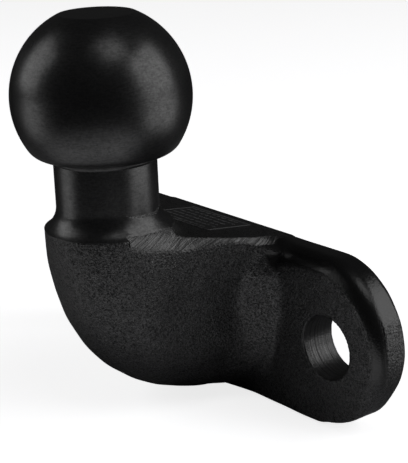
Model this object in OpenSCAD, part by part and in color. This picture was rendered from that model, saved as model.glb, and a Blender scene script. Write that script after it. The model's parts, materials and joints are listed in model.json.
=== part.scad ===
// Bolt-on tow ball: a forged two-bolt arm that carries a turned 50 mm coupling ball.
// Millimetres. The origin is the middle of the bolt line on the mounting face.
// X runs along the bolt line, +Y points into the vehicle and +Z points up.

/* [Ball] */
// Diameter of the coupling ball
ball_d = 50; // [49:0.5:50.8]
// Distance from the mounting face out to the ball axis
ball_reach = 44; // [42:0.5:50]
// Height of the ball centre above the bolt line
ball_rise = 68; // [66:0.5:74]
// Height of the flat crown above the ball centre
crown_h = 22.7; // [21.5:0.1:24]
// Depth of the flat underside of the ball below its centre
underside_h = 16; // [15:0.25:18]
// Rounding between the ball and its underside
knuckle_r = 5.5; // [3:0.25:6]

/* [Neck] */
// Diameter of the neck
neck_d = 28.8; // [28:0.1:29.4]
// Radius of the fillet at the foot of the neck
foot_r = 7.5; // [6.5:0.25:8.5]
// Diameter of the sharp rim where the fillet leaves the forging
rim_d = 36.2; // [36:0.1:37.4]
// Depth of the rim below the ball centre
rim_drop = 36.5; // [36:0.1:38]
// Diameter of the spigot that is pressed into the arm
spigot_d = 24; // [20:0.5:25]
// Length of the spigot below the rim
spigot_len = 26; // [18:1:30]

/* [Flange] */
// Overall length of the flange
flange_len = 146; // [140:1:156]
// Overall height of the flange before its top is sloped
flange_h = 48; // [46:0.5:52]
// Thickness of the flange
flange_t = 11; // [10:0.5:14]
// Height of the flange centre above the bolt line
flange_lift = 1.2; // [0:0.1:2]
// Rounding of the front edge of the flange
front_edge_r = 2.5; // [1.5:0.25:3]
// Rounding of the back edge of the flange
back_edge_r = 1.5; // [1:0.25:2]
// Distance between the two bolt holes
hole_spacing = 105; // [100:0.5:110]
// Diameter of the bolt holes
hole_d = 18; // [16.5:0.5:19]

/* [Arm] */
// Height of the sloping top face where it meets the mounting face
top_h = 24.4; // [24:0.1:25]
// Rise of the top face for each millimetre towards the ball
top_slope = 0.13; // [0.1:0.01:0.15]
// Half the width of the arm where it reaches the flange
arm_half_w = 19.5; // [18.5:0.25:21]
// Height of the underside of the arm at the end of the bend
arm_bottom = -21.4; // [-22:0.1:-20]
// Distance from the mounting face to the end of the bend
bend_end = 21; // [19:0.5:24]
// Fullness of the outside of the bend, where 2 is an ellipse
bend_power = 2.07; // [2:0.01:2.3]
// Radius of the hollow blend from the arm into the flange
blend_r = 9; // [6:0.5:10]

/* [Trimmed flash land] */
// How far the land stands out from the side of the arm
land_out = 2.5; // [1:0.25:3]
// Depth of the land below the top face at its deepest
land_depth = 4; // [3:0.25:5]
// Angle of the bevel beside the rim from horizontal
bevel_angle = 70; // [62:1:78]
// Half the width between the two bevels at the level of the rim
bevel_half_w = 16.5; // [16:0.25:17.5]

/* [Data plate] */
// Length of the data plate
plate_len = 26.6; // [20:0.2:30]
// Width of the data plate
plate_w = 16; // [12:0.5:17]
// Thickness of the data plate
plate_t = 0.8; // [0.6:0.1:1.5]
// Width of the raised border of the plate
plate_border = 0.8; // [0.5:0.1:1.5]
// Gap between the plate and the mounting face
plate_gap = 3.8; // [3:0.1:5]

/* [Hidden] */
$fn = 96;

ball_r = ball_d / 2;
neck_r = neck_d / 2;
rim_r = rim_d / 2;
spigot_r = spigot_d / 2;
rim_z = ball_rise - rim_drop;
slope_angle = atan(top_slope);
flange_bottom = flange_lift - flange_h / 2;

// Centre of the foot fillet, which passes through the rim.
foot_out = neck_r + foot_r - rim_r;
foot_centre_z = rim_z + sqrt(foot_r * foot_r - foot_out * foot_out);

// The rounding under the ball crosses the ball at a slight angle, so that the two curves join cleanly.
knuckle_overlap = 0.05;

// The bend is an outside curve drawn round this pivot, from the rim plane down to the underside.
bend_run = ball_reach + rim_r - bend_end;
bend_drop = rim_z - arm_bottom;
bend_steps = 30;
flare_steps = 12;
corner_steps = 14;
inner_reach = 1.5;
nose_half_w = rim_r;
shoulder_inset = 0.2;
cut = 200;

// The bevels start beside the front of the rim and run back past the neck.
bevel_start_y = -ball_reach - rim_r * 0.3;
bevel_run = rim_r * 1.1;
bevel_depth = 25;

// The land starts beside the back of the rim.
land_start_y = -ball_reach + rim_r * 0.8;

// Height of the sloping top face at a given y.
function top_z(y) = top_h - top_slope * y;

// Smooth change from 0 to 1 as t goes from 0 to 1.
function smooth(t) = t * t * (3 - 2 * t);

// Distance from the pivot to the outside of the bend, at an angle below horizontal.
function bend_reach(a) =
    pow(pow(cos(a) / bend_run, bend_power) + pow(sin(a) / bend_drop, bend_power), -1 / bend_power);

// Extra width of the hollow blend, as a quarter arc that ends on the flange.
function flare(y) =
    let (run = max(0, min(blend_r, y + flange_t + blend_r)))
    blend_r - sqrt(blend_r * blend_r - run * run);

// Underside of the arm, which falls to the bottom of the flange.
function underside_drop(y) =
    let (t = (y + bend_end) / (bend_end - flange_t))
    rim_z - arm_bottom + (arm_bottom - flange_bottom) * max(0, min(1, t));

// One U-shaped section of the arm as [x, distance from pivot] points.
function section(half_w, reach, extra) = [
    [half_w + extra, inner_reach],
    for (i = [0 : corner_steps])
        let (a = 90 * i / corner_steps, n = [cos(a), sin(a)], swell = extra * cos(a) * cos(a))
        [0, reach - half_w] + (half_w + swell) * n,
    for (i = [corner_steps - 1 : -1 : 0])
        let (a = 90 * i / corner_steps, n = [-cos(a), sin(a)], swell = extra * cos(a) * cos(a))
        [0, reach - half_w] + (half_w + swell) * n,
    [-half_w - extra, inner_reach]
];

// A section of the bend, standing at angle a below horizontal.
function bend_ring(a) =
    let (half_w = nose_half_w + (arm_half_w - nose_half_w) * smooth(a / 90))
    [for (p = section(half_w, bend_reach(a), 0)) [p.x, -bend_end - p.y * cos(a), rim_z - p.y * sin(a)]];

// An upright section between the bend and the flange.
function flare_ring(y) =
    [for (p = section(arm_half_w, underside_drop(y), flare(y))) [p.x, y, rim_z - p.y]];

arm_rings = [
    for (i = [0 : bend_steps]) bend_ring(90 * i / bend_steps),
    for (i = [1 : flare_steps]) flare_ring(-bend_end + (bend_end - flange_t) * i / flare_steps),
    flare_ring(-flange_t / 2)
];

// Closed skin over a list of rings that all have the same number of points.
module skin(rings) {
    ring_n = len(rings[0]);
    last = len(rings) - 1;
    side = [
        for (i = [0 : last - 1], j = [0 : ring_n - 1])
            let (a = i * ring_n + j, b = i * ring_n + (j + 1) % ring_n)
            each [[a, b + ring_n, b], [a, a + ring_n, b + ring_n]]
    ];
    first_cap = [for (j = [0 : ring_n - 1]) j];
    last_cap = [for (j = [ring_n - 1 : -1 : 0]) last * ring_n + j];
    polyhedron(points = [for (r = rings) each r], faces = concat(side, [first_cap, last_cap]));
}

// Everything above the sloping top face.
module above_top() {
    translate([0, 0, top_h])
        rotate([-slope_angle, 0, 0])
            translate([-cut / 2, -cut / 2, 0])
                cube([cut, cut, cut]);
}

// Everything outside the two bevels beside the rim.
module beside_bevels() {
    for (side = [0, 1])
        mirror([side, 0, 0])
            translate([bevel_half_w, bevel_start_y, rim_z])
                rotate([0, bevel_angle, 0])
                    cube([bevel_depth, bevel_run, bevel_depth]);
}

// Flat plate with round ends and rounded edges, standing on the mounting face.
module flange_blank() {
    end_x = (flange_len - flange_h) / 2;
    translate([0, 0, flange_lift])
        hull()
            for (side = [-1, 1])
                translate([side * end_x, 0, 0])
                    rotate([90, 0, 0])
                        rotate_extrude()
                            flange_end_profile();
}

// Half section of a flange end, from the mounting face outwards.
module flange_end_profile() {
    r = flange_h / 2;
    steps = 6;
    polygon([
        [0, 0],
        for (i = [0 : steps])
            let (a = 90 * i / steps - 90)
            [r - back_edge_r + back_edge_r * cos(a), back_edge_r + back_edge_r * sin(a)],
        for (i = [0 : steps])
            let (a = 90 * i / steps)
            [r - front_edge_r + front_edge_r * cos(a), flange_t - front_edge_r + front_edge_r * sin(a)],
        [0, flange_t]
    ]);
}

// Ledge left round the top face where the forging flash was sheared off.
module flash_land() {
    half = [
        [nose_half_w - shoulder_inset, land_start_y],
        [arm_half_w, land_start_y + land_out],
        [arm_half_w + land_out, -bend_end],
        [arm_half_w + land_out * 2, -flange_t - land_out],
        [arm_half_w + land_out * 3, -flange_t / 2]
    ];
    last = len(half) - 1;
    translate([0, 0, top_z(-bend_end) - land_depth])
        linear_extrude(height = land_depth * 2)
            polygon(concat(half, [for (i = [last : -1 : 0]) [-half[i].x, half[i].y]]));
}

// Round shoulder that carries the foot of the stud above the sloping top face.
module shoulder() {
    translate([0, -ball_reach, rim_z - foot_r])
        cylinder(r = rim_r - shoulder_inset, h = foot_r);
}

// Arm and flange in one forging, with two bolt holes and the socket for the stud.
module forged_arm() {
    color([0.1, 0.1, 0.11])
        difference() {
            union() {
                difference() {
                    union() {
                        skin(arm_rings);
                        flange_blank();
                        flash_land();
                    }
                    above_top();
                }
                shoulder();
            }
            beside_bevels();
            for (side = [-1, 1])
                translate([side * hole_spacing / 2, cut / 2, 0])
                    rotate([90, 0, 0])
                        cylinder(d = hole_d, h = cut);
            translate([0, -ball_reach, rim_z - spigot_len])
                cylinder(r = spigot_r, h = spigot_len + foot_r);
        }
}

// Outline of the ball to the right of its axis, with a flat crown and a rounded edge to its flat underside.
module ball_outline() {
    knuckle_y = knuckle_r - underside_h;
    knuckle_x = sqrt(pow(ball_r - knuckle_r + knuckle_overlap, 2) - knuckle_y * knuckle_y);
    intersection() {
        circle(r = ball_r);
        union() {
            polygon([
                [0, crown_h],
                [ball_r * 2, crown_h],
                [knuckle_x * 2, knuckle_y * 2],
                [knuckle_x, knuckle_y],
                [knuckle_x, -underside_h],
                [0, -underside_h]
            ]);
            translate([knuckle_x, knuckle_y])
                circle(r = knuckle_r);
        }
    }
}

// Outline of the hollow foot of the neck, from the straight neck out to the sharp rim.
module foot_outline() {
    difference() {
        translate([0, rim_z])
            square([rim_r, foot_centre_z - rim_z]);
        translate([neck_r + foot_r, foot_centre_z])
            circle(r = foot_r);
    }
}

// Ball, neck and spigot, turned from one piece.
module ball_stud() {
    color([0.13, 0.13, 0.14])
        difference() {
            translate([0, -ball_reach, 0])
                rotate_extrude() {
                    translate([0, ball_rise])
                        ball_outline();
                    translate([0, rim_z])
                        square([neck_r, ball_rise - rim_z]);
                    foot_outline();
                    translate([0, rim_z - spigot_len])
                        square([spigot_r, spigot_len + foot_r]);
                }
            beside_bevels();
        }
}

// Thin data plate with a raised border, lying on the sloping top face.
module rating_plate() {
    recess = plate_t / 3;
    color([0.2, 0.2, 0.21])
        translate([0, 0, top_h])
            rotate([-slope_angle, 0, 0])
                translate([-plate_len / 2, -plate_gap - plate_w, 0])
                    difference() {
                        cube([plate_len, plate_w, plate_t]);
                        translate([plate_border, plate_border, plate_t - recess])
                            cube([plate_len - 2 * plate_border, plate_w - 2 * plate_border, plate_t]);
                    }
}

forged_arm();
ball_stud();
rating_plate();
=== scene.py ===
"""Looks of a black bolt-on tow ball: a rough forged arm, a turned ball and neck, and a thin data plate."""

import json
import math

import bpy
import numpy as np
from mathutils import Matrix, Vector


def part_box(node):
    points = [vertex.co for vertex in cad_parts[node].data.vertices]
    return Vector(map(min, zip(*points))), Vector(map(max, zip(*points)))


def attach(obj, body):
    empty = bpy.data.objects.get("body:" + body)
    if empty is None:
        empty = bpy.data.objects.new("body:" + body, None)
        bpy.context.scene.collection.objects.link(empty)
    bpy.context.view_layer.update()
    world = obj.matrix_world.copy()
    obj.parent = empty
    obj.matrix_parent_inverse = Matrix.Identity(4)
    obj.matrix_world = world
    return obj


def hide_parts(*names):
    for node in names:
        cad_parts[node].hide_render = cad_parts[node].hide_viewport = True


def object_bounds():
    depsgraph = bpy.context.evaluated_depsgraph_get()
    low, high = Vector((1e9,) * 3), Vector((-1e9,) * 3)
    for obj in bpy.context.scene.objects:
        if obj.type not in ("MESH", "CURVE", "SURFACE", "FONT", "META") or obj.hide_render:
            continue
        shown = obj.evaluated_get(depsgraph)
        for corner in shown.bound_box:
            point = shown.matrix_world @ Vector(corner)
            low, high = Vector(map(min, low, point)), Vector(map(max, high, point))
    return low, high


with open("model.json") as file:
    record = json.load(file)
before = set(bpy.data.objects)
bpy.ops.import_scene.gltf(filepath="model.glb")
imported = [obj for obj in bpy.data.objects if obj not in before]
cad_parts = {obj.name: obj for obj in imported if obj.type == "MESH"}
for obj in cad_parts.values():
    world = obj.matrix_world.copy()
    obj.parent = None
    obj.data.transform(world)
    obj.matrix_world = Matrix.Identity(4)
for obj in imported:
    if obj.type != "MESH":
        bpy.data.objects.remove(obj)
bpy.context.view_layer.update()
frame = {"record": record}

# ---------------------------------------------------------------- sizes in millimetres, from the frame
MM = 0.001


def box_mm(node):
    low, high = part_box(node)
    return np.array(low) / MM, np.array(high) / MM


arm_low, arm_high = box_mm("forged_arm")
stud_low, stud_high = box_mm("ball_stud")
plate_low, plate_high = box_mm("rating_plate")
mounts = {mount["name"]: mount for mount in frame["record"]["mounts"]}
ball_y, ball_z = np.array(mounts["tow_ball"]["pos_m"][1:]) / MM
hole_x = mounts["bolt_holes"]["dims"]["spacing_x_mm"] / 2
hole_r = mounts["bolt_holes"]["dims"]["hole_r_mm"]
crown_z = stud_high[2]
spigot_z = stud_low[2]
rim_z = arm_high[2]
rim_r = ball_y - arm_low[1]
flange_end_x = arm_high[0]
flange_bottom = arm_low[2]

# The ball, its neck, and the hollow foot, whose section is part of a circle.
BALL_R = 25.0
CROWN_EDGE_R = 1.6
KNUCKLE_R = 5.5
UNDERSIDE_DROP = 16.0
NECK_R = 14.4
COLLAR_R = NECK_R + 0.35
FOOT_R = 7.5
FOOT_CENTRE_R = NECK_R + FOOT_R
FOOT_CENTRE_Z = rim_z + math.sqrt(FOOT_R**2 - (FOOT_CENTRE_R - rim_r) ** 2)
DISH_DEPTH = 1.1
SPIGOT_R = 12.0
SPIGOT_TOP = rim_z - 0.3

# The arm: its sloping top face, its section, whose corners have nearly its half width as radius, its bend
# and the unevenness of its skin.
TOP_Z = 24.4
TOP_SLOPE = 0.13
TOP_SWEEP_R = 4.5
ARM_HALF_W = 18.8
ARM_BOTTOM = -21.4
ARM_LOW_EXTRA = 3.2
ARM_CORNER_LESS = 1.6
ARM_END_CORNER_LESS = 3.0
BEND_END = 21.0
BEND_POWER = 2.07
EDGE_R = 0.5
SKIN_WAVE = 0.06
SKIN_WAVE_LENGTH = 9
SKIN_WAVE_SEED = 3

# The flange, a plate with round ends.
FLANGE_T = 11.0
FLANGE_HALF_H = 24.0
FLANGE_END_CENTRE = flange_end_x - FLANGE_HALF_H
FLANGE_MIDDLE_Z = flange_bottom + FLANGE_HALF_H
FLANGE_BLEND_R = 1.2
FLANGE_LOW_BLEND_R = 3.0

# Its outline is cut back in dips (depth, angle round the end, width), and hangs lower along its straight
# underside.
OUTLINE_DIPS = ((0.4, -1.25, 0.25), (0.3, -0.6, 0.2))
OUTLINE_SAG = 0.65
LOWEST_SAG = 0.8

# Its front edge's radius below, and what its ends, its top and the shoulder beside the arm add to that.
# Its back edge likewise.
FRONT_R = 0.7
FRONT_END_R = 3.2
FRONT_TOP_R = 1.8
SHOULDER_R = 2.8
SHOULDER_X = 30
SHOULDER_REACH = 5
BACK_R = 0.8
BACK_END_R = 1.6
BACK_CORNER_R = 1.5

# The sheared band, at distances behind the ball axis: the height and half width of its lower edge, and how
# far it leans in for each millimetre up. Below its lower edge it leans more, so that it ends there.
BAND_START = -5.3
BAND_TIP_Y = 34.5
BAND_LEAN_BELOW = 3.0
BAND_EASE = (-2.4, -0.8, 0.8, 2.4)
BAND_Y = (-5.5, -1.3, 3.5, 8, 12, 17, 23, 30, 33, 37, 44)
BAND_LOW_Z = (26.9, 26.6, 26.2, 25.8, 25.1, 25.1, 24.9, 24.1, 23.8, 23.6, 23.2)
BAND_LOW_X = (18.4, 18.8, 19.0, 19.3, 19.7, 21.8, 24.5, 26.8, 27.8, 29.2, 30.5)
BAND_LEAN = (0.42, 0.42, 0.45, 0.68, 0.88, 0.87, 0.85, 0.85, 0.90, 1.90, 2.20)

# The arm opens out to the flange along a slope that ends at this half width. Both ease off below a level,
# and the half width is less near the top.
SLOPE_LEVEL = 6
SLOPE_DEPTH = 27
SLOPE = 2.1
SLOPE_EASE = 0.057
SLOPE_END_X = 34.5
SLOPE_END_EASE = 0.33
SLOPE_TOP_LESS = 4.5
SLOPE_R = 3.0
SLOPE_R_EASE = 0.10

# The plate: its slab, its border and its rows of dashes.
PLATE_T = 0.3
PLATE_SUNK = -0.22
PLATE_CORNER_R = 0.8
BORDER_W = 0.55
BORDER_T = 0.16
BORDER_CORNER_R = 0.2
DASH_ROWS = 6
DASH_W = 0.7
DASH_T = 0.15
DASH_BASE = 0.02
DASH_CORNER_R = 0.25
DASH_LENGTHS = (0.9, 2.6)
DASH_GAPS = (0.5, 1.1)
DASH_MARGIN = 3.6
DASH_START = 2.0
DASH_END = 3.4
DASH_SEED = 11


# ---------------------------------------------------------------- distance functions, in millimetres
def soft_min(a, b, reach):
    """The smaller of two distances, rounded where they meet."""
    h = np.clip(reach - np.abs(a - b), 0, None) / reach
    return np.minimum(a, b) - h * h * reach / 4


def soft_max(a, b, reach):
    return -soft_min(-a, -b, reach)


def rounded(a, b, radius):
    """Distance to the inside of two walls whose shared edge has this radius."""
    p, q = a + radius, b + radius
    return np.hypot(np.clip(p, 0, None), np.clip(q, 0, None)) + np.minimum(np.maximum(p, q), 0) - radius


def smooth(t):
    t = np.clip(t, 0, 1)
    return t * t * (3 - 2 * t)


def ramp(value, start, end):
    """0 up to the start and 1 past the end, with a smooth step between."""
    return smooth((value - start) / (end - start))


def hump(value, centre, width):
    """1 at the centre, falling off to both sides."""
    return np.exp(-(((value - centre) / width) ** 2))


def waves(x, y, z, length, seed):
    """Gentle blotchy noise from a handful of plane waves, between about -1 and 1."""
    rng = np.random.default_rng(seed)
    total = 0
    count = 14
    for _ in range(count):
        way = rng.normal(size=3)
        way *= 2 * math.pi / (length * rng.uniform(0.7, 1.5) * np.linalg.norm(way))
        total = total + np.sin(way[0] * x + way[1] * y + way[2] * z + rng.uniform(0, 2 * math.pi))
    return total / math.sqrt(count)


def bend(x, y, z):
    """The cranked arm: a U-shaped section carried round a bend and then straight back to the flange."""
    run = -BEND_END - (ball_y - rim_r)
    drop = rim_z - ARM_BOTTOM
    dy = y + BEND_END
    dz = z - rim_z
    angle = np.arctan2(np.clip(-dz, 0, None), np.clip(-dy, 1e-4, None))
    angle = np.where(dy > 0, math.pi / 2, np.where(dz > 0, 0, angle))
    reach = np.where(dy > 0, -dz, np.where(dz > 0, -dy, np.hypot(dy, dz)))
    fall = (ARM_BOTTOM - flange_bottom) * np.clip(dy / (BEND_END - FLANGE_T), 0, 1)
    along = np.clip(np.cos(angle), 0, 1) / run
    outside = along**BEND_POWER + (np.sin(angle) / (drop + fall)) ** BEND_POWER
    outside = outside ** (-1 / BEND_POWER)
    turn = smooth(angle / (math.pi / 2))
    half_w = arm_half_width(y, z, turn)
    corner = half_w - ARM_CORNER_LESS * turn - ARM_END_CORNER_LESS * ramp(y, -34, -20)
    across = np.abs(x) * half_w / (half_w + arm_opening(y, z, half_w)) - half_w
    return rounded(across, reach - outside, corner)


def arm_half_width(y, z, turn):
    """Half width of the arm: about the band's at the top, and wider than its plain width lower down."""
    behind = y - ball_y
    top_share = ramp(z, 7, 22)
    past_band = 0.3 - 1.3 * ramp(behind, 14, 24)
    top_extra = (along_band(y, BAND_LOW_X) - ARM_HALF_W + past_band) * ramp(behind, -8, 4)
    low_extra = ARM_LOW_EXTRA * ramp(y, -38, -16) * ramp(z, -16, -4)
    return rim_r + (ARM_HALF_W - rim_r) * turn + low_extra * (1 - top_share) + top_extra * top_share


def arm_opening(y, z, half_w):
    """How much wider the arm gets on the slope that opens out to the flange."""
    below = np.clip(SLOPE_LEVEL - z, 0, SLOPE_DEPTH)
    slope = SLOPE - SLOPE_EASE * below
    end_x = SLOPE_END_X - SLOPE_END_EASE * below - SLOPE_TOP_LESS * ramp(z, 15, 22)
    past = slope * (np.clip(y, None, -FLANGE_T + 1) + FLANGE_T) + end_x - half_w
    return (past + np.hypot(past, SLOPE_R + SLOPE_R_EASE * below)) / 2


def round_flange_end(x, z):
    """Distances out and up from the centre of the flange's round end, and the angle up from there."""
    out = np.abs(x) - FLANGE_END_CENTRE
    lift = z - FLANGE_MIDDLE_Z
    return out, lift, np.arctan2(lift, np.clip(out, 1e-3, None))


def flange_outline(x, z):
    """Distance to the flange's stadium outline, seen from the front."""
    out, lift, turn = round_flange_end(x, z)
    cut_away = sum(depth * hump(turn, angle, width) for depth, angle, width in OUTLINE_DIPS)
    sag = OUTLINE_SAG * (1 - ramp(out, -1, 4)) * (lift < 0)
    return np.hypot(np.clip(out, 0, None), lift) - FLANGE_HALF_H + cut_away - sag


def flange(x, y, z):
    """Flat plate with round ends. Its front edge is sharp below, rounder at the ends, roundest on top."""
    outline = flange_outline(x, z)
    _, _, turn = round_flange_end(x, z)
    end_share = ramp(turn, -1.3, -0.4)
    top_share = ramp(turn, 0, 1.3)
    shoulder = top_share * hump(np.abs(x), SHOULDER_X, SHOULDER_REACH)
    front_r = FRONT_R + FRONT_END_R * end_share + FRONT_TOP_R * top_share + SHOULDER_R * shoulder
    back_r = BACK_R + BACK_END_R * end_share + BACK_CORNER_R * hump(turn, -0.8, 0.4)
    return np.maximum(rounded(outline, -FLANGE_T - y, front_r), rounded(outline, y, back_r))


def along_band(y, values):
    """One of the band's tables at a place along the arm, with its corners eased."""
    return sum(np.interp(y - ball_y + shift, BAND_Y, values) for shift in BAND_EASE) / len(BAND_EASE)


def band_edge(y, z):
    """Half width of the sheared band at a height, and the height where the band ends below."""
    low_z = along_band(y, BAND_LOW_Z)
    lean_below = BAND_LEAN_BELOW * ramp(y - ball_y, 25, 33) * np.clip(low_z - z, 0, None)
    return along_band(y, BAND_LOW_X) - (z - low_z) * along_band(y, BAND_LEAN) + lean_below, low_z


def top_surface(x, y, z):
    """Sloping top face that rises to the rim, and the turned foot inside the rim."""
    plane = (z - (TOP_Z - TOP_SLOPE * y)) / math.hypot(1, TOP_SLOPE)
    r = np.hypot(x, y - ball_y)
    in_front, always_inside, under_foot = -8, -10, 0.04
    shoulder = np.where(y - ball_y > in_front, r - rim_r, always_inside)
    sweep = soft_min(plane, shoulder, TOP_SWEEP_R)
    return np.maximum(sweep, z - foot_height(r) + foot_dish(x, y) + under_foot)


def foot_height(r):
    """Height of the turned hollow foot at a distance from the ball axis."""
    across = np.clip(FOOT_CENTRE_R - r, 0, FOOT_R)
    return FOOT_CENTRE_Z - np.sqrt(FOOT_R**2 - across * across)


def foot_dish(x, y):
    """How far the hollow foot is dished on the sides where the band cuts through it."""
    behind = y - ball_y
    return DISH_DEPTH * ramp(np.abs(x), 13, 17.5) * ramp(behind, -6, -1) * (1 - ramp(behind, 9, 14))


def forged_arm(x, y, z):
    """Distance to the whole forging: arm and flange, joined, then cut by the top, back and bores."""
    edge_x, _ = band_edge(y, z)
    sheared = np.minimum(np.abs(x) - edge_x, y - ball_y - BAND_START)
    skin = scale_waves(x, y, z)
    arm_side = soft_max(bend(x, y, z) + skin, sheared, EDGE_R)
    plate = flange(x, y, z) + skin
    low_share = 1 - ramp(z, flange_bottom, flange_bottom + 14)
    body = soft_min(arm_side, plate, FLANGE_BLEND_R + FLANGE_LOW_BLEND_R * low_share)
    body = soft_max(body, top_surface(x, y, z), EDGE_R)
    body = soft_max(body, y, EDGE_R)
    body = soft_max(body, flange_bottom - LOWEST_SAG - z, LOWEST_SAG)
    bore = hole_r - np.hypot(np.abs(x) - hole_x, z)
    return soft_max(body, bore, EDGE_R)


def scale_waves(x, y, z):
    """Slight unevenness of the forged skin, in millimetres."""
    return -SKIN_WAVE * waves(x, y, z, SKIN_WAVE_LENGTH, SKIN_WAVE_SEED)


# ---------------------------------------------------------------- meshes
def surface_net(distance, low, high, step):
    """Quad mesh of the zero surface of a distance function: (points, quads, outward normals)."""
    axes = [np.arange(a, b + step, step, dtype=np.float32) for a, b in zip(low, high)]
    slabs = [distance(*np.meshgrid(part, axes[1], axes[2], indexing="ij"))
             for part in np.array_split(axes[0], 16)]
    field = np.concatenate(slabs).astype(np.float32)
    inside = field < 0
    corners = [(i, j, k) for i in (0, 1) for j in (0, 1) for k in (0, 1)]
    shape = np.array(field.shape) - 1

    def corner_view(grid, corner):
        return grid[tuple(slice(c, c + n) for c, n in zip(corner, shape))]

    filled = sum(corner_view(inside, c).astype(np.uint8) for c in corners)
    active = (filled > 0) & (filled < 8)
    cells = np.argwhere(active)
    number = np.full(shape, -1, np.int32)
    number[active] = np.arange(len(cells))
    values = {c: corner_view(field, c)[active] for c in corners}
    total = np.zeros((len(cells), 3))
    hits = np.zeros(len(cells))
    for a in corners:
        for axis in range(3):
            if a[axis] == 1:
                continue
            b = tuple(c + (n == axis) for n, c in enumerate(a))
            crossing = (values[a] < 0) != (values[b] < 0)
            share = values[a] / np.where(crossing, values[a] - values[b], 1)
            point = np.array(a) + share[:, None] * (np.array(b) - np.array(a))
            total += np.where(crossing[:, None], point, 0)
            hits += crossing
    points = (cells + total / hits[:, None]) * step + np.array(low)
    quads = net_quads(inside, number)
    for _ in range(2):
        points = relax(points, quads)
        points, normals = settle(distance, points)
    return points, quads, normals


def net_quads(inside, number):
    """A quad for each grid edge that crosses the surface, between the points of the four cells round it."""
    shape = number.shape
    quads = []
    for axis in range(3):
        u, v = [n for n in range(3) if n != axis]
        ahead = np.take(inside, range(1, inside.shape[axis]), axis)
        here = np.take(inside, range(inside.shape[axis] - 1), axis)
        for start_inside in (True, False):
            spots = np.argwhere((here != ahead) & (here == start_inside))
            spots = spots[(spots[:, u] > 0) & (spots[:, v] > 0)]
            spots = spots[(spots[:, u] < shape[u]) & (spots[:, v] < shape[v])]
            ring = []
            for du, dv in ((0, 0), (1, 0), (1, 1), (0, 1)):
                cell = spots.copy()
                cell[:, u] -= du
                cell[:, v] -= dv
                ring.append(number[tuple(cell.T)])
            ring = np.stack(ring, 1)
            quads.append(ring if start_inside == (axis != 1) else ring[:, ::-1])
    return np.concatenate(quads)


def relax(points, quads):
    """Moves each point half way to the middle of its neighbours."""
    total = np.zeros_like(points)
    count = np.zeros(len(points))
    for a, b in ((0, 1), (1, 2), (2, 3), (3, 0)):
        for p, q in ((a, b), (b, a)):
            np.add.at(total, quads[:, p], points[quads[:, q]])
            np.add.at(count, quads[:, p], 1)
    return (points + total / count[:, None]) / 2


def settle(distance, points):
    """Pulls points onto the zero surface and returns them with its normals."""
    probe = 0.04
    for _ in range(4):
        slope = gradient(distance, points, probe)
        size = np.clip((slope**2).sum(1), 0.05, None)
        value = distance(*points.T)
        step = np.clip(value / size, -0.3, 0.3)
        points = points - step[:, None] * slope
    slope = gradient(distance, points, probe)
    return points, slope / np.linalg.norm(slope, axis=1)[:, None]


def gradient(distance, points, probe):
    columns = []
    for axis in range(3):
        ahead, behind = points.copy(), points.copy()
        ahead[:, axis] += probe
        behind[:, axis] -= probe
        columns.append((distance(*ahead.T) - distance(*behind.T)) / (2 * probe))
    return np.stack(columns, 1)


def mesh_object(name, points, faces, normals=None):
    """A smooth-shaded object from points in millimetres."""
    mesh = bpy.data.meshes.new(name)
    mesh.from_pydata(np.asarray(points) * MM, [], faces.tolist() if isinstance(faces, np.ndarray) else faces)
    mesh.polygons.foreach_set("use_smooth", [True] * len(mesh.polygons))
    mesh.update()
    if normals is not None:
        mesh.normals_split_custom_set_from_vertices(normals)
    made = bpy.data.objects.new(name, mesh)
    bpy.context.scene.collection.objects.link(made)
    return made


def add_share(piece, name, values):
    """Stores one number per point, for a material to read."""
    attribute = piece.data.attributes.new(name, "FLOAT", "POINT")
    attribute.data.foreach_set("value", np.clip(values, 0, 1).astype(np.float32))


def on_line(distance, reach):
    """1 where a distance is 0, and 0 or less past its reach."""
    return 1 - np.abs(distance) / reach


def beyond(value, start, reach):
    """0 where a value is at the start, and 1 a reach past it. A negative reach turns that round."""
    return (value - start) / reach


def lowest(*shares):
    return np.min(shares, axis=0)


def make_arm():
    """The forging, meshed from its distance function."""
    step = 0.5
    margin, foot_room = 1.5, 8
    high = arm_high + [margin, margin, foot_room + margin]
    points, quads, normals = surface_net(forged_arm, arm_low - margin, high, step)
    arm = mesh_object("forged_arm_surface", points, quads, normals)
    mark_surfaces(arm, points, normals)
    return arm


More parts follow.
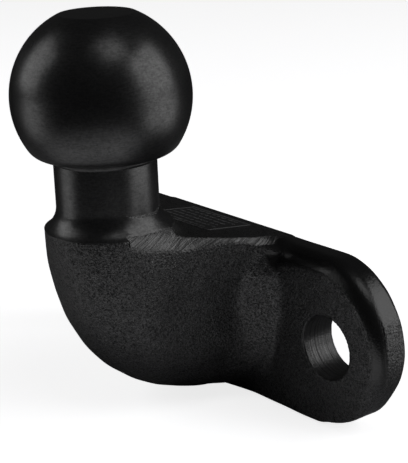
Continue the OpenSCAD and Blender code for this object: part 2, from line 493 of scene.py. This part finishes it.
def mark_surfaces(arm, points, normals):
    """Stores the shares that the arm's material reads: which of its surfaces each point belongs to."""
    x, y, z = points.T
    half = np.abs(x)
    behind = y - ball_y
    sideways, forward, upward = np.abs(normals[:, 0]), -normals[:, 1], normals[:, 2]

    edge_x, edge_z = band_edge(y, z)
    sheared = lowest(on_line(half - edge_x, 0.35), beyond(z, edge_z - 2.0, 0.8),
                     beyond(behind, BAND_START - 0.2, 0.4))
    top_face = on_line(top_surface(x, y, z), 0.35)
    add_share(arm, "sheared", np.where(top_face > 0.6, 0, sheared))
    # Where the material paints shade on the band's end, by cutting its reflection.
    add_share(arm, "painted_tip_shade", beyond(behind - 0.9 * (z - edge_z), BAND_TIP_Y, 1.5))
    # The top face, which the material makes rougher and paints darker, a painted shade.
    add_share(arm, "top_face", top_face)
    add_share(arm, "back_face", on_line(y, 0.3))
    add_share(arm, "bore", on_line(np.hypot(half - hole_x, z) - hole_r, 0.45))

    rim = beyond(flange_outline(x, z), -7.5, 1.5)
    front_edge = lowest(beyond(forward, 0.985, -0.04), beyond(forward, 0.1, 0.15), rim,
                        beyond(y, -FLANGE_T - 1, 0.5), beyond(z, -10, 8))
    along_top = lowest(beyond(half, 27, 2), beyond(upward, 0.3, 0.2), beyond(y, -FLANGE_T, 0.5)) * (z > 10)
    # The flange's rounded edges, which the material makes smoother and paints darker, a painted shade.
    add_share(arm, "rounding", np.maximum(front_edge, along_top))
    # The slope into the flange, where the material paints a highlight by raising its reflection.
    add_share(arm, "slope", lowest(beyond(forward, 0.6, 0.2), beyond(sideways, 0.2, 0.15), beyond(y, -19, 3),
                                   beyond(half, 37, -2), beyond(z, 22, -3), beyond(z, -18, 6)))


def stud_profile():
    """Half outline of the ball, neck, foot and spigot as (radius, height) points, from the crown down."""
    crown_h = crown_z - ball_z
    inner = BALL_R - CROWN_EDGE_R
    level = crown_h - CROWN_EDGE_R
    shoulder = (math.sqrt(inner**2 - level**2), level)
    top_angle = math.atan2(level, shoulder[0])
    knuckle_inner = BALL_R - KNUCKLE_R
    knuckle_level = UNDERSIDE_DROP - KNUCKLE_R
    knuckle = (math.sqrt(knuckle_inner**2 - knuckle_level**2), -knuckle_level)
    low_angle = math.atan2(knuckle[1], knuckle[0])

    # The flat crown with its edge, the ball, and its rounded lower edge.
    line = [(0, crown_z)]
    line += [(shoulder[0] * t, crown_z) for t in np.linspace(0, 1, 12)[1:-1]]
    line += arc(shoulder, CROWN_EDGE_R, math.pi / 2, top_angle, 10)
    line += arc((0, 0), BALL_R, top_angle, low_angle, 110)[1:]
    line += arc(knuckle, KNUCKLE_R, low_angle, -math.pi / 2, 12)[1:]

    # The underside, a narrow collar, the neck and the hollow foot.
    under = ball_z - UNDERSIDE_DROP
    line += [(COLLAR_R + 0.25, under), (COLLAR_R, under - 0.15)]
    line += [(COLLAR_R, under - 1.1), (COLLAR_R - 0.08, under - 1.3), (NECK_R, under - 1.7)]
    line += [(NECK_R, z) for z in np.linspace(under - 2, FOOT_CENTRE_Z, 24)]
    low = -math.acos((FOOT_CENTRE_R - rim_r) / FOOT_R)
    for t in np.linspace(0, low, 28)[1:]:
        line.append((FOOT_CENTRE_R - FOOT_R * math.cos(t), FOOT_CENTRE_Z + FOOT_R * math.sin(t)))

    # The rim and the spigot inside the arm.
    line += [(rim_r, rim_z - 0.1), (rim_r - 0.2, SPIGOT_TOP), (SPIGOT_R, SPIGOT_TOP)]
    line += [(SPIGOT_R, z) for z in np.linspace(rim_z - 1, spigot_z + 1, 8)]
    line += [(SPIGOT_R - 1, spigot_z), (0, spigot_z)]
    return line


def arc(centre, radius, start, end, count):
    """Points of an arc about a centre that is measured from the ball centre."""
    return [(centre[0] + radius * math.cos(t), ball_z + centre[1] + radius * math.sin(t))
            for t in np.linspace(start, end, count)]


def make_stud():
    """Ball, neck, foot and spigot, turned round the ball axis, with the sheared band cut through the rim."""
    line = stud_profile()
    turns = 288
    angles = np.linspace(0, 2 * math.pi, turns, endpoint=False)
    rings = np.array(line[1:-1])
    poles = [(0, ball_y, line[0][1]), (0, ball_y, line[-1][1])]
    grid = np.stack([rings[:, :1] * np.cos(angles), ball_y + rings[:, :1] * np.sin(angles),
                     np.repeat(rings[:, 1:], turns, 1)], -1).reshape(-1, 3)
    grid[:, 2] = below_band(grid)
    points = np.concatenate([poles, grid])
    first, last = 2, 2 + (len(rings) - 1) * turns
    faces = [(0, first + k, first + (k + 1) % turns) for k in range(turns)]
    faces += [(1, last + (k + 1) % turns, last + k) for k in range(turns)]
    for i in range(len(rings) - 1):
        a = first + i * turns
        b = a + turns
        faces += [(a + k, b + k, b + (k + 1) % turns, a + (k + 1) % turns) for k in range(turns)]
    stud = mesh_object("ball_stud_surface", points, faces)
    stud.data.set_sharp_from_angle(angle=math.radians(28))
    return stud


def below_band(points):
    """Heights of the stud's points, dished and then lowered under the sheared band where it cuts the foot."""
    x, y, z = points.T
    foot_low, foot_high = rim_z - 1, rim_z + FOOT_R
    on_foot = (z < foot_high) & (z > foot_low) & (y - ball_y > BAND_START)
    hollow = (1 - ramp(z, foot_high - 3, foot_high)) * ramp(z, foot_low, foot_low + 0.7)
    lowered = z - hollow * foot_dish(x, y)
    step, most_steps, inset = 0.25, 30, 0.1
    for _ in range(most_steps):
        edge_x, _ = band_edge(y, lowered)
        outside = on_foot & (np.abs(x) > edge_x - inset)
        lowered = np.where(outside, lowered - step, lowered)
    return lowered


def plate_frame():
    """The plate's middle on the sloping face, and unit vectors along it, across it and up from it."""
    along = np.array([1.0, 0, 0])
    across = np.array([0, 1.0, -TOP_SLOPE]) / math.hypot(1, TOP_SLOPE)
    middle_y = (plate_low[1] + plate_high[1]) / 2
    middle = np.array([0, middle_y, TOP_Z - TOP_SLOPE * middle_y])
    return middle, along, across, np.cross(along, across)


def slab(centre, size, height, base, corner, steps=5):
    """Points and faces of a low block with round corners, in the plate's own plane."""
    middle, along, across, up = plate_frame()
    outline = []
    for sx, sy, start in ((1, 1, 0), (-1, 1, 90), (-1, -1, 180), (1, -1, 270)):
        for t in np.radians(np.linspace(start, start + 90, steps)):
            outline.append((centre[0] + sx * (size[0] / 2 - corner) + corner * math.cos(t),
                            centre[1] + sy * (size[1] / 2 - corner) + corner * math.sin(t)))
    outline = np.array(outline)
    soft, top = min(height * 0.4, 0.12), base + height
    layers = [(base, 0), (top - soft, 0), (top - soft * 0.3, soft * 0.3), (top, soft)]
    points = []
    for level, inset in layers:
        toward = outline - np.array(centre)
        shrink = 1 - inset / np.clip(np.abs(toward).max(0), 1e-6, None)
        ring = np.array(centre) + toward * shrink
        points += [middle + along * p[0] + across * p[1] + up * level for p in ring]
    n = len(outline)
    faces = [tuple(range(n - 1, -1, -1)), tuple(range(n * (len(layers) - 1), n * len(layers)))]
    for layer in range(len(layers) - 1):
        a = layer * n
        faces += [(a + k, a + (k + 1) % n, a + n + (k + 1) % n, a + n + k) for k in range(n)]
    return points, faces


def make_plate():
    """Thin plate with a raised border and rows of plain raised dashes."""
    length = plate_high[0] - plate_low[0]
    width = (plate_high[1] - plate_low[1]) * math.hypot(1, TOP_SLOPE)
    parts = [slab((0, 0), (length, width), PLATE_T, PLATE_SUNK, PLATE_CORNER_R)]
    for side in (-1, 1):
        bar = ((0, side * (width - BORDER_W) / 2), (length, BORDER_W))
        end = ((side * (length - BORDER_W) / 2, 0), (BORDER_W, width - BORDER_W))
        parts += [slab(*bar, BORDER_T, 0.0, BORDER_CORNER_R), slab(*end, BORDER_T, 0.0, BORDER_CORNER_R)]
    rng = np.random.default_rng(DASH_SEED)
    for row in range(DASH_ROWS):
        across = (row - (DASH_ROWS - 1) / 2) * (width - DASH_MARGIN) / (DASH_ROWS - 1)
        at = -length / 2 + DASH_START
        while at < length / 2 - DASH_END:
            dash = rng.uniform(*DASH_LENGTHS)
            spot, size = (at + dash / 2, across), (dash, DASH_W)
            parts.append(slab(spot, size, DASH_T, DASH_BASE, DASH_CORNER_R, steps=3))
            at += dash + rng.uniform(*DASH_GAPS)
    points, faces = [], []
    for part_points, part_faces in parts:
        start = len(points)
        points += part_points
        faces += [tuple(start + i for i in face) for face in part_faces]
    plate = mesh_object("rating_plate_surface", points, faces)
    plate.data.polygons.foreach_set("use_smooth", [False] * len(plate.data.polygons))
    middle, _, _, up = plate_frame()
    add_share(plate, "raised", beyond((np.array(points) - middle) @ up, 0.09, 0.03))
    return plate


# ---------------------------------------------------------------- materials
# Relief depths in metres.
SCALE_DEPTH = 0.00028
LATHE_DEPTH = 0.00012
PLATE_GRAIN_DEPTH = 0.0001

# The marks left by shearing and boring: their height against the scale's, and how far the shear marks run
# along the arm for each millimetre down. They change slowly along their length.
MARK_HEIGHT = 0.9
MARK_SLANT = -2.4
MARK_CHANGE = 0.06

# Multipliers against the rest of the arm. Painted highlight: reflection raised on the slope into the flange.
# Painted shade: reflection cut on the band's end, and base colour darker on the top face and on the flange's
# rounded edge.
SLOPE_PAINTED_HIGHLIGHT = 1.7
BAND_TIP_PAINTED_SHADE = 0.25
PAINTED_SHADE_SHARE = 0.6


class Nodes:
    """Short names for building one node material."""

    def __init__(self, name):
        self.material = bpy.data.materials.new(name)
        self.material.use_nodes = True
        self.tree = self.material.node_tree
        self.shader = self.tree.nodes["Principled BSDF"]

    def add(self, kind, settings=None, **inputs):
        node = self.tree.nodes.new(kind)
        for key, value in (settings or {}).items():
            setattr(node, key, value)
        for key, value in inputs.items():
            self.feed(node, key.replace("_", " ").title(), value)
        return node

    def feed(self, node, key, value):
        socket = node.inputs[key]
        if isinstance(value, bpy.types.NodeSocket):
            self.tree.links.new(value, socket)
        else:
            socket.default_value = value

    def math(self, operation, a, b=0.0):
        node = self.tree.nodes.new("ShaderNodeMath")
        node.operation = operation
        for index, value in enumerate((a, b)):
            if isinstance(value, bpy.types.NodeSocket):
                self.tree.links.new(value, node.inputs[index])
            else:
                node.inputs[index].default_value = value
        return node.outputs[0]

    def remap(self, value, low, high, new_low=0.0, new_high=1.0):
        node = self.tree.nodes.new("ShaderNodeMapRange")
        self.feed(node, "Value", value)
        for key, number in (("From Min", low), ("From Max", high), ("To Min", new_low), ("To Max", new_high)):
            node.inputs[key].default_value = number
        return node.outputs[0]

    def noise(self, place, scale, detail=3.0, roughness=0.55):
        node = self.add("ShaderNodeTexNoise", scale=scale, detail=detail, roughness=roughness)
        self.feed(node, "Vector", place)
        return node.outputs["Fac"]

    def cells(self, place, scale):
        """Distance from the middle of the nearest of many small soft-edged cells."""
        node = self.add("ShaderNodeTexVoronoi", {"feature": "SMOOTH_F1"}, scale=scale, smoothness=0.6)
        self.feed(node, "Vector", place)
        return node.outputs["Distance"]

    def grains(self, place, scale):
        """A random number for each small cell of the surface."""
        node = self.add("ShaderNodeTexVoronoi", scale=scale)
        self.feed(node, "Vector", place)
        return self.add("ShaderNodeSeparateColor", color=node.outputs["Color"]).outputs["Red"]

    def mix(self, share, a, b):
        """The first value where the share is 0, and the second where it is 1."""
        return self.math("ADD", self.math("MULTIPLY", self.math("SUBTRACT", 1.0, share), a),
                         self.math("MULTIPLY", share, b))

    def bump(self, height, strength, depth):
        node = self.add("ShaderNodeBump", strength=strength, distance=depth, height=height)
        return node.outputs["Normal"]

    def along(self, place, way):
        """How far a place lies in a direction from the origin."""
        node = self.add("ShaderNodeVectorMath", {"operation": "DOT_PRODUCT"})
        self.feed(node, "Vector", place)
        node.inputs[1].default_value = way
        return node.outputs["Value"]

    def grey(self, value):
        node = self.tree.nodes.new("ShaderNodeCombineColor")
        for channel, tint in (("Red", 1.0), ("Green", 1.0), ("Blue", 1.03)):
            self.feed(node, channel, self.math("MULTIPLY", value, tint))
        return node.outputs[0]

    def share(self, name):
        return self.add("ShaderNodeAttribute", {"attribute_name": name}).outputs["Fac"]


def forged_paint():
    """Satin black coating over a scaly forging, smoother on the band, in the bores and on the back."""
    n = Nodes("forged_black_coating")
    place = n.add("ShaderNodeTexCoord").outputs["Object"]
    xyz = n.add("ShaderNodeSeparateXYZ", vector=place)
    sheared, bore = n.share("sheared"), n.share("bore")
    top_face, rounding = n.share("top_face"), n.share("rounding")
    cut = n.math("MAXIMUM", sheared, bore)
    smoothness = n.math("MAXIMUM", cut, n.math("MAXIMUM", n.share("back_face"), rounding))

    # Shear marks run down the band at a slant, and tool rings go round the bores.
    slant = n.math("ADD", xyz.outputs["Y"], n.math("MULTIPLY", xyz.outputs["Z"], MARK_SLANT))
    streak_place = n.add("ShaderNodeCombineXYZ", x=slant, y=n.math("MULTIPLY", xyz.outputs["Z"], MARK_CHANGE))
    streaks = n.noise(streak_place.outputs[0], 1500.0, 3.0, 0.7)
    rings = n.noise(n.add("ShaderNodeCombineXYZ", x=xyz.outputs["Y"]).outputs[0], 1800.0, 3.0, 0.7)

    # Relief: pimples and scale, nearly gone where the surface is smooth, then the marks.
    pimples = n.cells(place, 1500.0)
    fine = n.noise(place, 2200.0, 2.0, 0.5)
    coarse = n.noise(place, 800.0, 3.0, 0.6)
    grit = n.math("ADD", fine, n.math("MULTIPLY", coarse, 0.6))
    scale = n.math("ADD", n.math("MULTIPLY", pimples, 0.5), grit)
    height = n.math("MULTIPLY", scale, n.mix(smoothness, 1.0, 0.15))
    for share, pattern in ((sheared, streaks), (bore, rings)):
        height = n.math("ADD", height, n.math("MULTIPLY", pattern, n.math("MULTIPLY", share, MARK_HEIGHT)))
    n.feed(n.shader, "Normal", n.bump(height, 1.0, SCALE_DEPTH))

    # Each grain reflects by its own amount, as facets too small to model would.
    grain = n.mix(0.4, n.grains(place, 4200.0), n.grains(place, 2300.0))
    marks = n.mix(cut, 0.44, n.mix(bore, streaks, rings))
    glint = n.mix(smoothness, n.remap(grain, 0.15, 0.85, 0.12, 1.25), n.remap(marks, 0.40, 0.60, 0.35, 1.35))
    # Painted highlight: reflection is raised on the slope into the flange.
    glint = n.math("MULTIPLY", glint, n.mix(n.share("slope"), 1.0, SLOPE_PAINTED_HIGHLIGHT))
    # Painted shade: reflection is cut on the band's end.
    painted_tip_shade = n.math("MULTIPLY", n.share("painted_tip_shade"), sheared)
    n.feed(n.shader, "Specular IOR Level", n.math("MULTIPLY", glint, n.mix(painted_tip_shade, 1.0, BAND_TIP_PAINTED_SHADE)))

    blotch = n.remap(n.noise(place, 60.0, 4.0, 0.6), 0.3, 0.7, 0.013, 0.018)
    colour = n.math("MULTIPLY", blotch, n.remap(grain, 0.15, 0.85, 0.75, 1.25))
    # Painted shade: the top face and the flange's rounded edge are painted darker.
    colour = n.math("MULTIPLY", colour, n.mix(n.math("MAXIMUM", rounding, top_face), 1.0, PAINTED_SHADE_SHARE))
    n.feed(n.shader, "Base Color", n.grey(colour))
    roughness = n.remap(n.noise(place, 220.0, 3.0), 0.3, 0.7, 0.36, 0.45)
    roughness = n.mix(cut, roughness, 0.30)
    roughness = n.mix(n.math("MULTIPLY", top_face, 0.6), roughness, 0.42)
    n.feed(n.shader, "Roughness", n.mix(rounding, roughness, 0.26))
    return n.material


def turned_paint():
    """Thin satin black coating over lathe marks round the ball axis, deeper on the neck than elsewhere."""
    n = Nodes("turned_black_coating")
    place = n.add("ShaderNodeTexCoord").outputs["Object"]
    xyz = n.add("ShaderNodeSeparateXYZ", vector=place)
    level = n.add("ShaderNodeCombineXYZ", z=xyz.outputs["Z"])
    underside = ball_z - UNDERSIDE_DROP
    on_neck = n.remap(xyz.outputs["Z"], (underside + 0.5) * MM, (underside - 0.5) * MM)
    marks = n.noise(level.outputs[0], 2600.0, 3.0, 0.75)
    feed_marks = n.noise(level.outputs[0], 700.0, 2.0, 0.6)
    grain = n.noise(place, 1400.0, 3.0, 0.6)
    ring_height = n.math("ADD", n.math("MULTIPLY", marks, 0.6), n.math("MULTIPLY", feed_marks, 0.5))
    height = n.math("ADD", n.math("MULTIPLY", ring_height, n.mix(on_neck, 0.10, 0.42)),
                    n.math("MULTIPLY", grain, n.mix(on_neck, 0.10, 0.16)))
    n.feed(n.shader, "Normal", n.bump(height, 0.5, LATHE_DEPTH))
    blotch = n.noise(place, 45.0, 4.0, 0.6)
    n.feed(n.shader, "Base Color", n.grey(n.remap(blotch, 0.3, 0.7, 0.009, 0.013)))
    n.feed(n.shader, "Roughness", n.remap(n.noise(place, 130.0, 4.0), 0.3, 0.7, 0.27, 0.34))
    stretch = 0.2
    flat_place = n.add("ShaderNodeCombineXYZ", x=n.math("MULTIPLY", xyz.outputs["X"], stretch),
                       y=n.math("MULTIPLY", xyz.outputs["Y"], stretch), z=xyz.outputs["Z"])
    streak = n.noise(flat_place.outputs[0], 2600.0, 2.0, 0.6)
    speck = n.math("ADD", n.math("MULTIPLY", n.grains(place, 2000.0), 0.25), n.math("MULTIPLY", streak, 0.75))
    n.feed(n.shader, "Specular IOR Level", n.remap(speck, 0.3, 0.7, 0.45, 0.85))
    return n.material


def plate_paint():
    """Flat black coating over a thin pressed plate, lighter and more reflective on its raised lines, a
    painted highlight.
    """
    n = Nodes("plate_black_coating")
    place = n.add("ShaderNodeTexCoord").outputs["Object"]
    grain = n.noise(place, 1600.0, 4.0, 0.6)
    raised = n.share("raised")
    # Painted highlight: the raised lines are painted lighter and more reflective.
    raised_highlight = n.math("MULTIPLY", raised, 0.035)
    n.feed(n.shader, "Base Color", n.grey(n.math("ADD", n.remap(grain, 0.3, 0.7, 0.012, 0.020), raised_highlight)))
    n.feed(n.shader, "Specular IOR Level", n.mix(raised, 0.45, 0.8))
    n.feed(n.shader, "Roughness", n.remap(grain, 0.3, 0.7, 0.38, 0.5))
    n.feed(n.shader, "Normal", n.bump(grain, 0.4, PLATE_GRAIN_DEPTH))
    return n.material


# Directions along the floor are degrees to the right of the way to the camera.
RIGHT_SIDE = 81
LEFT_SIDE = -100
FRONT_SIDE = -8

# Lights that reflections see on the floor: (side, half angle in degrees, strength), and how far from the
# ball axis they fade in, in metres.
POOLS = ((RIGHT_SIDE, 24, 1.35), (LEFT_SIDE + 10, 16, 0.95))
POOL_FADE = (0.125, 0.20)
FRONT_GLOW = 0.5
CAMERA_GLOW = 0.8


def pool_of_light(n, place, side, spread):
    """Share of the floor lit by a softbox, as the coating sees it: a wedge from the ball axis outward."""
    from_axis = n.add("ShaderNodeVectorMath", {"operation": "SUBTRACT"})
    n.feed(from_axis, "Vector", place)
    from_axis.inputs[1].default_value = (0, ball_y * MM, 0)
    along, across = (n.along(from_axis.outputs[0], level_way(angle)) for angle in (side, side + 90))
    ratio = n.math("DIVIDE", n.math("ABSOLUTE", across), n.math("MAXIMUM", along, 0.01))
    edge, softness = math.tan(math.radians(spread)), 0.15
    wedge = n.remap(ratio, edge + softness, edge - softness)
    return n.math("MULTIPLY", wedge, n.remap(along, *POOL_FADE))


def clearance(n, place):
    """Distance along the floor from the middle lines of the arm and the flange."""
    xyz = n.add("ShaderNodeSeparateXYZ", vector=place)
    x, y = n.math("ABSOLUTE", xyz.outputs["X"]), xyz.outputs["Y"]
    half_arm = -(arm_low[1] + rim_r) * MM / 2
    half_flange = (flange_end_x - FLANGE_HALF_H / 2) * MM
    from_middle = n.math("ABSOLUTE", n.math("ADD", y, half_arm))
    past_arm = n.math("MAXIMUM", n.math("SUBTRACT", from_middle, half_arm), 0.0)
    past_flange = n.math("MAXIMUM", n.math("SUBTRACT", x, half_flange), 0.0)
    squares = [n.math("ADD", n.math("MULTIPLY", a, a), n.math("MULTIPLY", b, b))
               for a, b in ((x, past_arm), (y, past_flange))]
    return n.math("SQRT", n.math("MINIMUM", *squares))


def floor_paint():
    """Matte white sweep. Reflections see it only near the object and in front, so the edges stay dark."""
    n = Nodes("white_sweep")
    place = n.add("ShaderNodeTexCoord").outputs["Object"]
    path = n.add("ShaderNodeLightPath")
    grain = n.remap(n.noise(place, 300.0, 2.0), 0.3, 0.7, 0.90, 0.93)
    reach = n.add("ShaderNodeVectorMath", {"operation": "LENGTH"})
    n.feed(reach, "Vector", place)

    # How much of the floor reflections see, by distance from the middle, to the front and to the right.
    near = n.remap(reach.outputs["Value"], 0.10, 0.24, 1.0, 0.04)
    ahead = n.remap(n.along(place, level_way(FRONT_SIDE)), 0.02, 0.075, 0.12, 1.0)
    not_aside = n.remap(n.along(place, level_way(90)), 0.035, 0.06, 1.0, 0.35)
    in_front = n.math("MULTIPLY", near, n.math("MULTIPLY", ahead, not_aside))
    glossy = path.outputs["Is Glossy Ray"]
    n.feed(n.shader, "Base Color", n.grey(n.math("MULTIPLY", grain, n.mix(glossy, 1.0, in_front))))

    # What the floor gives off: its front and its lit pools in reflections, and white to the camera.
    # Painted shadow: the front glow fades out near the arm and the flange.
    clear = n.remap(clearance(n, place), 0.025, 0.06)
    glow = n.math("MULTIPLY", n.math("MULTIPLY", in_front, clear), FRONT_GLOW)
    for side, spread, strength in POOLS:
        glow = n.math("ADD", glow, n.math("MULTIPLY", pool_of_light(n, place, side, spread), strength))
    glow = n.math("MULTIPLY", glow, glossy)
    glow = n.math("ADD", glow, n.math("MULTIPLY", path.outputs["Is Camera Ray"], CAMERA_GLOW))
    n.feed(n.shader, "Roughness", 0.9)
    n.feed(n.shader, "Emission Color", (1, 1, 1, 1))
    n.feed(n.shader, "Emission Strength", glow)
    return n.material


# ---------------------------------------------------------------- stage
VIEW_AIM = Vector((8.9, -17.5, 25.1)) * MM
VIEW_AZIMUTH = 52.36
VIEW_ELEVATION = 17.5
VIEW_ROLL = -2.41
VIEW_DISTANCE = 430 * MM
VIEW_LENS = 116.63
SENSOR = 36.0
FLOOR_HALF = 3.0
AMBIENT = 0.02

# Name, side, degrees up, size and distance in metres, brightness.
SOFTBOXES = (
    ("right_softbox", RIGHT_SIDE, 24, (0.72, 0.68), 0.8, 1.8),
    ("left_softbox", LEFT_SIDE - 2, 25, (0.48, 0.62), 0.8, 1.5),
    ("top_softbox", 40, 66, (0.42, 0.42), 0.9, 1.2),
)


def view_axes():
    """Unit vectors to the right, up and back toward the camera."""
    azimuth, elevation = math.radians(VIEW_AZIMUTH), math.radians(VIEW_ELEVATION)
    back = Vector((math.sin(azimuth) * math.cos(elevation), -math.cos(azimuth) * math.cos(elevation),
                   math.sin(elevation)))
    right = Vector((math.cos(azimuth), math.sin(azimuth), 0))
    return right, back.cross(right), back


def make_camera():
    right, up, back = view_axes()
    roll = math.radians(VIEW_ROLL)
    across = right * math.cos(roll) + up * math.sin(roll)
    upright = up * math.cos(roll) - right * math.sin(roll)
    data = bpy.data.cameras.new("camera")
    data.lens, data.sensor_width = VIEW_LENS, SENSOR
    data.clip_start = 0.01
    camera = bpy.data.objects.new("camera", data)
    turn = Matrix((across, upright, back)).transposed().to_4x4()
    camera.matrix_world = Matrix.Translation(VIEW_AIM + back * VIEW_DISTANCE) @ turn
    bpy.context.scene.collection.objects.link(camera)
    bpy.context.scene.camera = camera


def level_way(side):
    """Unit vector along the floor, at an angle to the right of the way to the camera."""
    right, _, back = view_axes()
    forward = Vector((back.x, back.y, 0)).normalized()
    return right * math.sin(math.radians(side)) + forward * math.cos(math.radians(side))


def softbox(name, side, lift, size, distance, brightness):
    """A panel of light facing the ball, at an angle to the right of the camera and an angle up."""
    lift = math.radians(lift)
    way = level_way(side) * math.cos(lift) + Vector((0, 0, math.sin(lift)))
    data = bpy.data.lights.new(name, "AREA")
    data.shape = "RECTANGLE"
    data.size, data.size_y = size
    data.energy = brightness * math.pi * size[0] * size[1]
    lamp = bpy.data.objects.new(name, data)
    lamp.location = Vector((0, ball_y, ball_z)) * MM + way * distance
    lamp.rotation_mode = "QUATERNION"
    lamp.rotation_quaternion = way.to_track_quat("Z", "Y")
    lamp.visible_camera = False
    bpy.context.scene.collection.objects.link(lamp)


def make_floor():
    """White floor under the lowest point of the object."""
    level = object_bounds()[0].z
    corners = np.array([(-1, -1, 0), (1, -1, 0), (1, 1, 0), (-1, 1, 0)]) * FLOOR_HALF / MM
    floor = mesh_object("floor", corners, [(0, 1, 2, 3)])
    floor.location.z = level
    floor.data.materials.append(floor_paint())


def make_world():
    """Surroundings that are white to the camera and nearly dark to everything else."""
    world = bpy.data.worlds.new("studio")
    bpy.context.scene.world = world
    world.use_nodes = True
    tree = world.node_tree
    path = tree.nodes.new("ShaderNodeLightPath")
    strength = tree.nodes.new("ShaderNodeMapRange")
    strength.inputs["To Min"].default_value = AMBIENT
    strength.inputs["To Max"].default_value = 1.0
    tree.links.new(path.outputs["Is Camera Ray"], strength.inputs["Value"])
    tree.links.new(strength.outputs[0], tree.nodes["Background"].inputs["Strength"])
    tree.nodes["Background"].inputs["Color"].default_value = (1, 1, 1, 1)


def make_stage():
    make_floor()
    make_world()
    for box in SOFTBOXES:
        softbox(*box)
    bpy.context.scene.view_settings.view_transform = "Standard"


# ---------------------------------------------------------------- the object
def place_piece(piece, material, node):
    piece.data.materials.append(material)
    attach(piece, "root")
    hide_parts(node)


place_piece(make_arm(), forged_paint(), "forged_arm")
place_piece(make_stud(), turned_paint(), "ball_stud")
place_piece(make_plate(), plate_paint(), "rating_plate")
make_camera()
make_stage()
